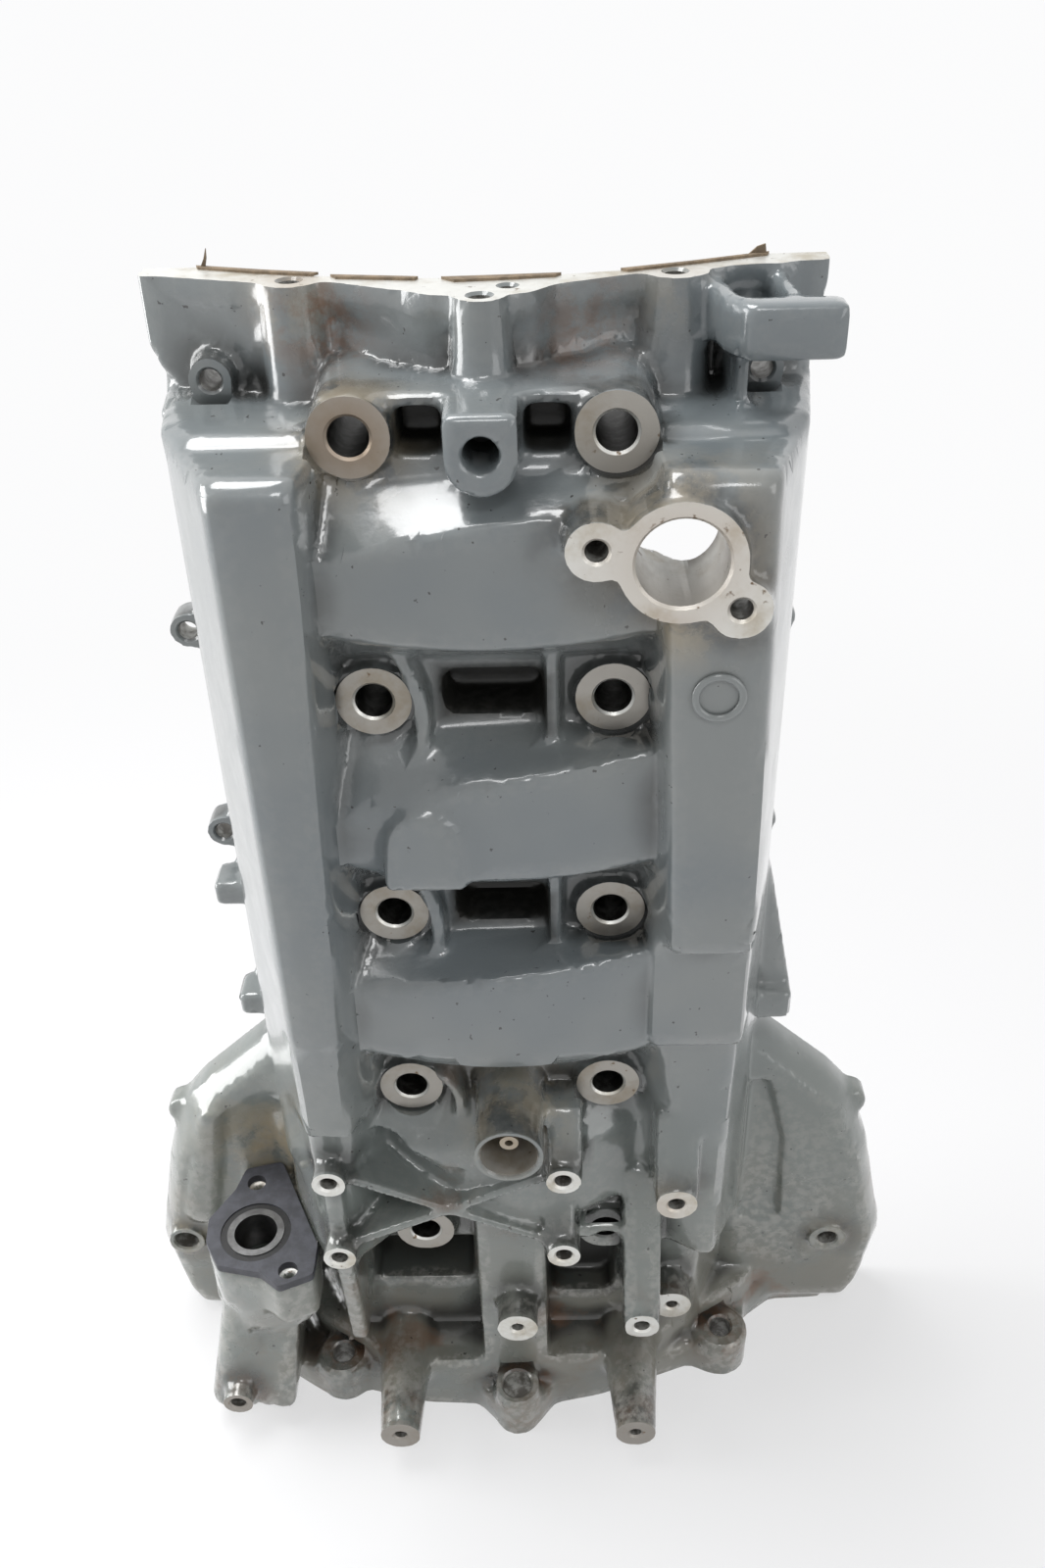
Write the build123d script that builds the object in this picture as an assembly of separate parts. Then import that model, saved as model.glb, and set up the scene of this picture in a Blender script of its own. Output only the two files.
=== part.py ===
from build123d import *
import os

# Crankcase half of a four-throw engine, in millimetres.
# The crank axis is the Z axis. The parting plane is Y = 0 and the outside faces -Y.
# Z = 0 is the lower mounting face. "Depth" is the distance in front of the parting plane.
# "Stand" is how far a form stands out in front of the one it grows from.

# Main bearing rows, counted from the top
row_count = 5
row_pitch = 88.6
lowest_row_z = 111.6
top_row_cover = 34.0
housing_radius = 26.0
web_thickness = 23.0
bolt_column_x = 39.0
bolt_hole_radius = 6.2
spot_face_radius = 12.4
spot_face_stand = 5.0
last_row = row_count - 1
top_row_z = lowest_row_z + last_row * row_pitch
overall_height = top_row_z + top_row_cover

# Main bearing shells
shell_wall = 2.0
shell_width = 19.0

# Crank clearance and the walls round it
wall = 5.5
throw_radius = 72.0
throw_width = 30.0
counterweight_radius = 50.0
floor_clearance = 1.5
well_depth = counterweight_radius + floor_clearance + wall
spot_face_depth = well_depth + spot_face_stand
roof_z = top_row_z - 1.0

# Parting flange, side walls and bolt lugs
flange_half_width = 107.0
flange_thickness = 10.0
side_wall = 7.0
wall_back_x = flange_half_width - 3
wall_middle_x = flange_half_width - 9
wall_middle_depth = 45.0
lug_radius = 7.0
lug_hole_radius = 3.5
left_lug_x = -flange_half_width - 3.5
right_lug_x = flange_half_width - 6
right_lug_radius = 6.0
upper_lug_x = flange_half_width - 21
upper_lug_z = top_row_z + 5
upper_lug_depth = 22.0

# Rails on both sides of the front
rail_stand = 31.0
rail_depth = well_depth + rail_stand
rail_wall = 8.0
rail_top_z = top_row_z - 4
rail_outer_x = wall_middle_x - 20.5
right_rail_outer_top_x = wall_middle_x - 15
right_rail_outer_bottom_x = wall_middle_x - 11
rail_inner_top_x = bolt_column_x + 13.5
rail_inner_bottom_x = bolt_column_x + 22
rail_foot_x = bolt_column_x + 9
hollow_inner_x = bolt_column_x + 27.5
hollow_outer_x = wall_middle_x - 23
step_depth = rail_depth - 8
foot_depth = rail_depth - 14
rail_foot_z = lowest_row_z - 6.6
cast_line = 1.0

# Throw bulges between the rows
bulge_crown = 3.5
bulge_depth = throw_radius + wall + bulge_crown
bulge_side_depth = bulge_depth - 7
bulge_side_x = bolt_column_x + 17
bulge_rise = 28.0
bulge_rise_side = 33.0
ridge_drops = ((37, 21, 18), (39, 22, 13), (26, 17, 8))

# Pockets and ribs between the bolt bosses
slot_half_width = 16.5
slot_half_height = 8.0
slot_floor_depth = 38.0
well_rib_stand = 10.0

# Top flange
top_flange_thickness = 8.0
top_hole_radius = 3.4
top_boss_x = 58.3
top_boss_depth = 18.9
top_centre_depth = 41.0
top_opening_half_width = flange_half_width - 19
top_opening_depth = 21.0
tab_half_width = 10.8
tab_stand = 18.0
tab_depth = spot_face_depth + tab_stand
tab_hole_radius = 5.3

# Breather port and its two screw ears
port_x = 56.5
port_z = top_row_z - 28.2
port_stand = 4.0
port_depth = rail_depth + port_stand
port_radius = 13.5
port_ring_radius = 18.8
port_ear_radius = 9.3
port_ears = ((port_x - 24.5, port_z + 4.2), (port_x + 17.5, port_z - 14.8))
port_thread_length = 20.0

# Threads, as tapping radii
m8_radius = 3.4
m6_radius = 2.6
thread_length = 16.0

# Lower front: bracket pads, crossed ribs, cup and legs
shelf_z = lowest_row_z + row_pitch
pad_stand = 7.0
pad_depth = bulge_depth + pad_stand
pad_pitch_x = 92.5
pad_pitch_z = 45.5
pad_left_x = -72.0
pad_right_x = pad_left_x + pad_pitch_x
pad_top_z = shelf_z - 27.7
pad_bottom_z = pad_top_z - pad_pitch_z
cross_rib_thickness = 4.0
cup_x = 0.0
cup_z = shelf_z - 2.2
cup_stand = 16.0
cup_depth = bulge_depth + cup_stand
cup_radius = 13.4
cup_bore_radius = 11.0
cup_stub_radius = 3.6
leg_z = 26.0
leg_depth = 105.0

# Base flange
base_opening_radius = 44.0
flange_height = 15.0
block_height = 31.0
ear_height = 20.0
ear_hole_radius = 5.1
left_ear = (-84.0, 59.0)
right_ear = (95.0, 47.5)
centre_lug = (-1.5, 79.0)
centre_lug_height = 24.0

# Wings beside the base
wing_depth = 22.0
wing_wall = 7.0
left_wing_hole = (-160.0, 57.0)
left_wing_hole_radius = 5.5
right_wing_hole = (147.0, 53.0)
right_wing_hole_radius = 4.5

# Oil passage column on the left
column_top_z = 104.0
plate_thickness = 4.0
passage_x = -114.0
passage_depth = 59.0
passage_radius = 9.3
sleeve_wall = 3.1
sleeve_radius = passage_radius + sleeve_wall
seal_width = 3.0
seal_radius = sleeve_radius + seal_width
sleeve_length = 16.0
plate_bolts = ((-118.0, 32.0), (-97.0, 79.0))
plate_hole_radius = 4.2

# Dowels and gasket scraps
dowel_radius = 5.85
dowel_press_step = 0.25
dowel_bore_radius = 4.4
dowel_length = 12.0
dowel_stand = 5.0
lower_dowel_x = -86.0
upper_dowel_x = 64.0
scrap_thickness = 0.8


def row_z(index):
    """Height of a main bearing row, counted from the top."""
    return top_row_z - index * row_pitch


def front_plane(depth):
    """Plane facing the viewer: local x is X, local y is Z."""
    return Plane(origin=(0, -depth, 0), x_dir=(1, 0, 0), z_dir=(0, -1, 0))


def side_plane(x):
    """Plane across the part: local x is depth, local y is Z."""
    return Plane(origin=(x, 0, 0), x_dir=(0, -1, 0), z_dir=(-1, 0, 0))


def outline(points, corner=0.0):
    face = make_face(Polyline(*points, close=True))
    if corner > 0:
        face = fillet(face.vertices(), corner)
    return face


def front_slab(points, back, front, corner=0.0):
    """Outline seen from the front, from one depth to another."""
    return extrude(front_plane(back) * outline(points, corner), amount=front - back)


def plan_face(points, corner=0.0):
    """Outline seen from above, given as (x, depth)."""
    return outline([(x, -depth) for x, depth in points], corner)


def plan_slab(points, low, high, corner=0.0):
    return extrude(Plane.XY.offset(low) * plan_face(points, corner), amount=high - low)


def side_slab(points, left, right):
    """Outline across the part, given as (depth, z), between two X places."""
    return extrude(side_plane(right) * outline(points), amount=right - left)


def rod(x, z, back, front, radius, front_radius=None):
    """Round boss or hole along the viewing direction, tapering to the front."""
    length = front - back
    place = front_plane(back).location * Pos(x, z, length / 2)
    if front_radius is None or front_radius == radius:
        return place * Cylinder(radius, length)
    return place * Cone(radius, front_radius, length)


def post(x, depth, low, high, radius, top_radius=None):
    """Round upright boss or hole."""
    place = Pos(x, -depth, (low + high) / 2)
    if top_radius is None or top_radius == radius:
        return place * Cylinder(radius, high - low)
    return place * Cone(radius, top_radius, high - low)


def fuse(pieces):
    total = pieces[0]
    for piece in pieces[1:]:
        total = total + piece
    return total


def core_block():
    """Walls and floor of the crank bays, still solid."""
    half = [(wall_back_x, 0), (wall_back_x, 8), (wall_middle_x, wall_middle_depth),
            (wall_middle_x - 10, well_depth)]
    points = half + [(-x, depth) for x, depth in reversed(half)]
    return plan_slab(points, row_z(last_row) - web_thickness / 2, roof_z)


def rail(sections, corner):
    """Flat-fronted ridge, lofted between sections of (z, outer x, inner x, depth)."""
    faces = []
    for z, outer, inner, depth in sections:
        sign = 1 if outer > 0 else -1
        back = wall_middle_depth - 10
        points = [(sign * wall_middle_x, back), (sign * wall_middle_x, wall_middle_depth), (outer, depth),
                  (inner, depth), (sign * rail_foot_x, well_depth - 3), (sign * rail_foot_x, back)]
        face = plan_face(points)
        front = [vertex for vertex in face.vertices() if vertex.Y < 1 - depth]
        faces.append(Plane.XY.offset(z) * fillet(front, corner))
    return loft(faces, ruled=True)


def left_rail():
    """Long rail with a cast line across it, on a shallower foot."""
    outer = -rail_outer_x
    top = -rail_inner_top_x
    bottom = -rail_inner_bottom_x
    line_z = row_z(last_row - 1) + 45.8
    end_z = row_z(last_row - 1) - 4.2
    below = rail([(end_z, outer, bottom, rail_depth - 2 * cast_line),
                  (line_z + 1, outer, bottom, rail_depth - cast_line)], 4)
    above = rail([(line_z, outer, bottom, rail_depth), (rail_top_z - 4, outer, top, rail_depth),
                  (rail_top_z, outer, top, rail_depth - 4)], 4)
    foot = rail([(rail_foot_z, outer - 2.5, bottom - 8, foot_depth), (end_z, outer, bottom - 1, step_depth)], 3)
    return fuse([below, above, foot])


def right_rail():
    """Short rail that drops in two steps to a narrow foot."""
    top_outer = right_rail_outer_top_x
    outer = right_rail_outer_bottom_x
    inner = rail_inner_bottom_x - 2
    end_z = row_z(last_row - 2) - 1.8
    step_z = row_z(last_row - 1) + 35.8
    upper = rail([(end_z, outer, inner, rail_depth - 2), (end_z + 3, outer, inner, rail_depth),
                  (rail_top_z - 4, top_outer, rail_inner_top_x - 1, rail_depth),
                  (rail_top_z, top_outer, rail_inner_top_x - 1, rail_depth - 4)], 4)
    step = rail([(step_z, outer, inner - 5, step_depth - 1), (step_z + 2, outer, inner - 5, step_depth),
                 (end_z + 1, outer, inner - 5, step_depth)], 3)
    foot = rail([(rail_foot_z, outer - 3, outer - 8, foot_depth - 2), (step_z + 1, outer - 1, inner - 2, foot_depth)], 2)
    return fuse([upper, step, foot])


def bulge(index):
    """Throw bulge below a row: bowed across, with its upper ridge slanting down to the left."""
    above = row_z(index)
    below = row_z(index + 1)
    left, middle, right = ridge_drops[index % len(ridge_drops)]
    stations = [(-bulge_side_x, bulge_side_depth, bulge_rise_side, left), (0, bulge_depth, bulge_rise, middle),
                (bulge_side_x, bulge_side_depth, bulge_rise_side, right)]
    faces = []
    for x, depth, rise, drop in stations:
        points = [(wall_middle_depth, below + 6), (well_depth, below + 14), (depth, below + rise),
                  (depth, above - drop), (well_depth, above - web_thickness / 2), (wall_middle_depth, above - 6)]
        faces.append(side_plane(x) * outline(points))
    return loft(faces)


def raised_pad():
    """Low arched pad on the second bulge, above the third row."""
    foot = row_z(2) + bulge_rise
    shoulder = foot + 18
    front = bulge_depth + cast_line
    pad = front_slab([(-37, foot), (-11, foot), (-13, shoulder), (-35, shoulder)], well_depth, front)
    return pad + rod(-24, shoulder, well_depth, front, 11)


def lower_face():
    """Forward face below the cup row, ending in a V-shaped ledge above the crossed ribs."""
    top = shelf_z - 4.2
    front = front_slab([(-66, top), (-66, top - 10), (-45, top - 16), (-27, top - 33), (-17, top - 27),
                        (16, top - 19), (28, top - 19), (28, top)], well_depth - 7, rail_depth + 2)
    crest = throw_radius + wall - 2.5
    profile = side_slab([(wall_middle_depth, top + 4), (well_depth - 1, top - 2), (crest, top - 18),
                         (crest, top - 46), (wall_middle_depth, top - 46)], -70, 30)
    return front & profile


def throw_profile(low, high, clearance):
    """Half outline of the room that a throw and its counterweights sweep, grown by a clearance."""
    middle = (low + high) / 2
    half = throw_width / 2 + clearance
    inner = counterweight_radius + clearance
    outer = throw_radius + clearance
    return outline([(0, low), (inner, low), (outer, middle - half), (outer, middle + half), (inner, high), (0, high)])


def lowest_drum():
    """Round wall over the lowest throw, behind the crossed ribs."""
    low = row_z(last_row)
    high = row_z(last_row - 1)
    reach = throw_radius + wall + 1
    drum = revolve(Plane.XZ * throw_profile(low, high, wall), Axis.Z)
    return drum & Pos(0, -reach, (low + high) / 2) * Box(2 * reach, 2 * reach, 2 * row_pitch)


def half_room(hollow_depth):
    """Half outline of a bay seen from above, from the middle outwards; the hollow runs up into the rail."""
    inner = well_depth - wall
    points = [(bolt_column_x + 13, inner)]
    if hollow_depth > inner:
        points += [(hollow_inner_x - 5, inner + 8.5), (hollow_inner_x, hollow_depth), (hollow_outer_x, hollow_depth)]
    else:
        points += [(wall_middle_x - 16, inner)]
    back_x = wall_back_x - side_wall - 2
    return points + [(wall_middle_x - side_wall, wall_middle_depth - 1), (back_x, 8), (back_x, -1)]


def bay_cavity(index):
    """Crank bay between two webs: box room, rail hollows and the round sweep of the throw."""
    high = row_z(index) - web_thickness / 2
    low = row_z(index + 1) + web_thickness / 2
    deep = rail_depth - rail_wall
    shallow = foot_depth - rail_wall
    left_depth = deep if index < last_row - 1 else shallow
    right_depth = deep if index < last_row - 2 else shallow
    if index == last_row - 1:
        right_depth = 0
    left = [(-x, depth) for x, depth in reversed(half_room(left_depth))]
    room = plan_slab(left + half_room(right_depth), low, high)
    return room + revolve(Plane.XZ * throw_profile(low, high, 0), Axis.Z)


def top_face(inset):
    """Wavy front edge of the top flange, seen from above."""
    side = flange_half_width - inset
    front = [(-side, 0), (-side, 8 - inset), (-66, 22 - inset), (-46, 22 - inset), (-26, 33 - inset),
             (-14, 40.5 - inset), (14, 40.5 - inset), (22, 31 - inset), (44, 22 - inset), (70, 15.5 - inset),
             (side, 8.5 - inset), (side, 0)]
    face = plan_face(front)
    corners = [corner for corner in face.vertices() if abs(corner.X) < side - 1]
    return fillet(corners, 5)


def top_flange():
    plate_z = overall_height - top_flange_thickness
    web_z = roof_z - 4
    plate = extrude(Plane.XY.offset(plate_z) * top_face(0), amount=top_flange_thickness)
    web = extrude(Plane.XY.offset(web_z) * top_face(2.5), amount=plate_z - web_z)
    left = post(-top_boss_x, top_boss_depth, web_z, overall_height, 10.5, 9.2)
    right = post(top_boss_x, top_boss_depth, web_z, overall_height, 12.5, 9.0)
    centre = post(0, top_centre_depth, row_z(0), overall_height, 10, 7.8)
    return fuse([plate, web, left, right, centre])


def top_opening():
    """Shallow arc cut out of the back of the top flange."""
    left = (-top_opening_half_width, 0)
    right = (top_opening_half_width, 0)
    face = make_face(ThreePointArc(left, (0, -top_opening_depth), right) + Line(right, left))
    return extrude(Plane.XY.offset(row_z(0) + web_thickness / 2) * face, amount=overall_height)


def top_row_web():
    """Shelf over the top main bearing, with its tab in the middle."""
    z = row_z(0)
    half = web_thickness / 2
    reach = bolt_column_x + 9
    shelf = front_slab([(-reach, z - half), (reach, z - half), (reach, z + half), (-reach, z + half)],
                       0, spot_face_depth - 3)
    tab = front_slab([(-tab_half_width, z - 2), (tab_half_width, z - 2), (tab_half_width, z + half),
                      (-tab_half_width, z + half)], 30, tab_depth)
    return shelf + tab + rod(0, z - 2, 30, tab_depth, tab_half_width)


def bolt_bosses():
    """Ring bosses of the main bolts; the top pair runs right back to the parting flange."""
    bosses = []
    for index in range(row_count):
        back = 0 if index == 0 else wall_middle_depth
        for x in (-bolt_column_x, bolt_column_x):
            bosses.append(rod(x, row_z(index), back, spot_face_depth, spot_face_radius + 1.4, spot_face_radius + 0.3))
    return fuse(bosses)


def well_ribs(index):
    """Curved rib right of the left boss and straight rib left of the right boss."""
    z = row_z(index)
    back = well_depth - 7
    front = well_depth + well_rib_stand
    near = slot_half_width + 0.3
    far = slot_half_width + 5
    straight = front_slab([(near, z - 26), (far, z - 26), (far, z + 18), (near, z + 18)], back, front)
    outer = ThreePointArc((-near - 16, z + 19), (-near - 8.7, z - 3), (-near - 14, z - 26))
    inner = ThreePointArc((-near - 9, z - 26), (-near - 3.7, z - 3), (-near - 11, z + 19))
    band = make_face(outer + Line(outer @ 1, inner @ 0) + inner + Line(inner @ 1, outer @ 0))
    return straight + extrude(front_plane(back) * band, amount=front - back)


def cup_row_rib():
    """Curved rib between the left boss and the cup, one row above the lowest."""
    back = well_depth - 7
    outer = ThreePointArc((-30, shelf_z + 10), (-22, shelf_z - 8), (-29, shelf_z - 24))
    inner = ThreePointArc((-25, shelf_z - 24), (-17.5, shelf_z - 8), (-25, shelf_z + 10))
    band = make_face(outer + Line(outer @ 1, inner @ 0) + inner + Line(inner @ 1, outer @ 0))
    return extrude(front_plane(back) * band, amount=well_rib_stand + 7)


def slot(index):
    """Deep cored pocket between the two bolt bosses of a row."""
    z = row_z(index)
    mouth = [(-slot_half_width, z - slot_half_height), (slot_half_width, z - slot_half_height),
             (slot_half_width, z + slot_half_height), (-slot_half_width, z + slot_half_height)]
    return front_slab(mouth, slot_floor_depth, rail_depth + 2, 5)


def top_pockets():
    """Pockets between the tab and the top pair of bolt bosses."""
    z = row_z(0)
    near = tab_half_width + 1.2
    far = bolt_column_x - 13
    front = spot_face_depth + 8
    left = front_slab([(-far, z - 7), (-near, z - 7), (-near, z + 7), (-far, z + 7)], slot_floor_depth, front)
    right = front_slab([(near, z - 7), (far, z - 7), (far, z + 7), (near, z + 7)], slot_floor_depth, front)
    return left + right


def port_neck():
    back = well_depth - 2
    neck = [rod(port_x, port_z, back, port_depth, port_ring_radius + 1.5, port_ring_radius)]
    for x, z in port_ears:
        neck.append(rod(x, z, back, port_depth, port_ear_radius + 1.5, port_ear_radius))
    return fuse(neck)


def lower_bosses():
    """Forward bosses of the lower front: (x, z, back, front, back radius, front radius, hole radius)."""
    pads = [(x, z, well_depth - 7, pad_depth, 7.8, 7.0, m8_radius)
            for x in (pad_left_x, pad_right_x) for z in (pad_bottom_z, pad_top_z)]
    clip = pad_depth - 3
    return pads + [(66, pad_top_z - 18.5, 46, clip, 9.4, 8.2, m8_radius), (54, 74, 26, clip, 8.6, 7.4, m8_radius),
                   (69, 62, 40, 66, 9, 8.8, m6_radius), (0, 74, 40, clip, 10.5, 9, m6_radius),
                   (-53, leg_z, 25, leg_depth, 15.5, 9, m6_radius), (51, leg_z, 40, leg_depth, 15, 9, m6_radius),
                   (-128, leg_z, passage_depth, passage_depth + 30, 9, 7, m8_radius)]


def boss_ribs():
    """Upright ribs that carry the forward bosses: side profiles between two X places."""
    front = pad_depth - 4
    left = side_slab([(40, pad_top_z + 3), (front - 2, pad_top_z + 3), (front - 2, pad_bottom_z - 3), (70, 45),
                      (40, 45)], pad_left_x - 4.5, pad_left_x + 3.5)
    middle = side_slab([(50, pad_top_z + 25), (72, pad_top_z + 25), (front + 3, pad_top_z + 2),
                        (front + 3, pad_top_z - 3), (50, pad_top_z - 12)], pad_right_x - 6, pad_right_x + 8)
    small = side_slab([(50, pad_bottom_z + 25), (70, pad_bottom_z + 23), (front + 3, pad_bottom_z + 3),
                       (front + 3, pad_bottom_z - 3), (50, pad_bottom_z - 9)], pad_right_x - 8, pad_right_x + 5)
    right = side_slab([(45, pad_top_z + 20), (73, pad_top_z + 20), (front, pad_top_z - 12), (front, pad_top_z - 22),
                       (45, pad_top_z - 32)], 57.5, 75)
    low = side_slab([(40, pad_bottom_z + 24), (64, pad_bottom_z + 22), (front, 82), (front, 68), (30, 60)], 46, 62)
    arch = side_slab([(50, pad_bottom_z - 4), (70, pad_bottom_z - 6), (70, pad_bottom_z - 13),
                      (50, pad_bottom_z - 17)], pad_right_x - 4, 50)
    return fuse([left, middle, small, right, low, arch])


def strip(start, end, thickness, back, front):
    """Straight rib between two points of the front view."""
    a = Vector(*start)
    b = Vector(*end)
    along = (b - a).normalized()
    side = Vector(-along.Y, along.X) * (thickness / 2)
    return front_slab([(p.X, p.Y) for p in (a + side, b + side, b - side, a - side)], back, front)


def cross_ribs():
    """Two ribs crossed between the four bracket pads."""
    back = well_depth - 7
    front = pad_depth - 4
    rising = strip((pad_left_x, pad_bottom_z), (pad_right_x, pad_top_z), cross_rib_thickness, back, front)
    falling = strip((pad_left_x, pad_top_z), (pad_right_x, pad_bottom_z), cross_rib_thickness, back, front)
    return rising + falling


def base_outline():
    """Scalloped edge of the lower mounting flange, as (x, depth)."""
    return [(-150, 0), (-150, 20), (-112, 56), (-96, 66), (-84, 71.5), (-72, 66), (-60, 70), (-43, 73), (-20, 74),
            (-10, 84), (-1.5, 89.5), (8, 84), (16, 74), (37, 70), (69, 59), (80, 55), (88, 59), (95, 60.5),
            (106, 51), (109, 30), (124, 19), (150, 18), (150, 0)]


def lower_housing():
    """Walls below the last main bearing, the thick base block and the centre pillar."""
    walls = plan_slab([(-96, 0), (-96, 20), (-80, 50), (80, 50), (96, 20), (96, 0)], 0, row_z(last_row))
    flange = plan_slab(base_outline(), 0, flange_height)
    block = plan_slab([(-118, 0), (-112, 20), (-97, 45), (-72, 60), (-60, 70), (-43, 73), (37, 70), (60, 62),
                       (76, 50), (106, 32), (118, 18), (120, 0)], 0, block_height)
    ears = post(*left_ear, 0, ear_height, 12.5) + post(*right_ear, 0, ear_height, 13)
    lug = post(*centre_lug, 0, centre_lug_height, 10.5)
    pillar = side_slab([(30, 20), (71, 20), (70, pad_bottom_z + 23), (66, pad_top_z + 12), (30, pad_top_z + 12)],
                       -17, 13)
    return fuse([walls, flange, block, ears, lug, pillar])


def lower_openings():
    """Room behind the lower housing, its two blind pockets to the front, and the seal bore."""
    ceiling = row_z(last_row) - web_thickness / 2
    room = plan_slab([(-88, -1), (-88, 18), (50, 18), (56, 40), (70, 40), (88, 18), (88, -1)], block_height, ceiling)
    round_room = post(0, 0, block_height - 1, ceiling, 30)
    left = front_slab([(-66, 62), (-20, 62), (-20, ceiling - 3), (-66, ceiling - 3)], 24, 60, 5)
    right = front_slab([(13.5, 51), (44, 51), (44, ceiling - 6), (13.5, ceiling - 6)], 36, 60, 8)
    bore = post(0, 0, -1, block_height + 1, base_opening_radius)
    return fuse([room, round_room, left, right, bore])


def wing_outline(side):
    shape = [(92, 0), (163, 0), (170, 15), (175, 50), (162, 110), (150, 140), (141, 151), (104, 185), (92, 187)]
    return outline([(side * x, z) for x, z in shape])


def wing_plate(side, hole):
    """Flat wing beside the base, with a sloping rim and a ring round its bolt hole."""
    face = wing_outline(side)
    back = extrude(front_plane(0) * face, amount=wing_depth / 2)
    crown = loft([front_plane(wing_depth / 2) * face,
                  front_plane(wing_depth) * offset(face, amount=-wing_wall, kind=Kind.INTERSECTION)], ruled=True)
    lug = rod(side * 152, 130, 0, 10, 8)
    ring = rod(*hole, 0, wing_depth + 2, 10, 8.5)
    return fuse([back, crown, lug, ring])


def wing_hollow(side):
    """Hollow behind a wing."""
    inside = [(104, 34), (140, 34), (150, 72), (148, 104), (138, 128), (104, 160)]
    return front_slab([(side * x, z) for x, z in inside], -1, wing_depth - wing_wall)


def left_wing_ridge():
    """Upright round-ended ridge on the left wing."""
    path = [(-157, 76), (-142.6, 76), (-130, 146), (-140, 144)]
    ridge = front_slab(path, wing_depth / 2, wing_depth + 3)
    return ridge + rod(-149.5, 77, wing_depth / 2, wing_depth + 3, 7)


def right_wing_recess():
    """Shallow upright recess on the right wing."""
    path = [(103, 66), (123, 66), (121, 120), (112, 158), (103, 158)]
    return front_slab(path, wing_depth - wing_wall / 2, wing_depth + 10, 3)


def plate_outline():
    """Edge of the column's top face, as (x, depth)."""
    return [(-108, 20), (-124, 24), (-127, 36), (-136, 52), (-135, 64), (-128, 76), (-109, 80), (-100, 87),
            (-86, 81), (-86, 66)]


def oil_column():
    """Upright oil passage on the left, with its mound behind and two lower legs."""
    column = plan_slab(plate_outline() + [(-95, 20)], 80, column_top_z)
    waist = loft([Plane.XY.offset(62) * plan_face([(-133, 30), (-133, 66), (-118, 78), (-92, 72), (-92, 30)], 6),
                  Plane.XY.offset(80) * plan_face([(-136, 22), (-134, 70), (-116, 80), (-88, 76), (-88, 22)], 6)])
    mound = loft([Plane.XY.offset(62) * plan_face([(-134, 5), (-130, 34), (-100, 34), (-92, 5)]),
                  Plane.XY.offset(126) * plan_face([(-126, 5), (-122, 26), (-108, 26), (-100, 5)])], ruled=True)
    outer = loft([Plane.XY.offset(14) * plan_face([(-144, 40), (-144, 84), (-117, 84), (-117, 40)], 9),
                  Plane.XY.offset(70) * plan_face([(-133, 30), (-133, 74), (-113, 74), (-113, 30)], 9)])
    inner = loft([Plane.XY.offset(14) * plan_face([(-120, 40), (-120, 84), (-104, 85), (-104, 45)], 3),
                  Plane.XY.offset(66) * plan_face([(-116, 30), (-116, 72), (-98, 74), (-98, 30)], 3)])
    groove = plan_slab([(-115.5, 76), (-115.5, 92), (-113.5, 92), (-113.5, 76)], 10, 64)
    return fuse([column, waist, mound, outer, inner]) - groove


def plate_face():
    return plan_face(plate_outline(), 3)


def bracket():
    """Bar on two struts at the upper right."""
    low = overall_height - 19
    high = overall_height - 3
    side = flange_half_width - 1
    bar = front_slab([(side - 28, low), (side, low), (side, high), (side - 28, high)], 38, 50)
    near = plan_slab([(64, 8), (72, 8), (79, 50), (77, 50), (71, 40)], low, high)
    far = plan_slab([(88, 8), (93, 8), (95, 40), (90, 40)], low + 3, high)
    stay = plan_slab([(72, 8), (77, 8), (80, 40), (76, 40)], low - 19, low)
    return fuse([bar, near, far, stay])


def parting_flange():
    """Flange along the parting plane, with its bolt lugs."""
    side = flange_half_width
    waist_z = row_z(last_row - 1) - 10.2
    foot_z = row_z(last_row) - 11.6
    shape = [(-side, overall_height), (-side, overall_height - 21), (3 - side, top_row_z + 5), (8 - side, top_row_z + 1),
             (-side, top_row_z - 8), (-side - 1, waist_z), (11 - side, foot_z), (side - 11, foot_z),
             (side - 2, waist_z), (side - 2, top_row_z - 8), (side - 8, top_row_z), (side - 1, overall_height - 20),
             (side - 1, overall_height)]
    pieces = [front_slab(shape, 0, flange_thickness)]
    for index in range(1, last_row):
        pieces.append(rod(left_lug_x, row_z(index), 0, flange_thickness, lug_radius))
        if index < last_row - 1:
            pieces.append(rod(right_lug_x, row_z(index), 0, flange_thickness, right_lug_radius))
    for side_sign in (-1, 1):
        pieces.append(rod(side_sign * upper_lug_x, upper_lug_z, 0, upper_lug_depth, lug_radius + 1, lug_radius))
    return fuse(pieces)


def side_tabs():
    """Small stays on the left wall, and a gusset with a bar under it on the right wall."""
    left = flange_half_width
    stays = []
    for low, high, reach in ((shelf_z + 62, shelf_z + 73, left + 8), (shelf_z + 3, shelf_z + 14, left + 6),
                             (shelf_z - 47, shelf_z - 33, left)):
        stays.append(front_slab([(-reach, low), (12 - left, low), (12 - left, high), (-reach, high)], 8, 24))
    bar_z = shelf_z + 6
    right = flange_half_width + 8
    inner = wall_middle_x - 2
    bar = front_slab([(inner, bar_z), (right, bar_z), (right, bar_z + 14), (inner, bar_z + 14)], 14, 34)
    plate = front_slab([(inner, bar_z + 13), (right, bar_z + 13), (right - 12, bar_z + 74), (inner, bar_z + 74)],
                       14, 27)
    return fuse(stays + [bar, plate])


def dowel_places():
    """Opposite corners of the parting face."""
    return ((lower_dowel_x, row_z(last_row)), (upper_dowel_x, row_z(0)))


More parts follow.
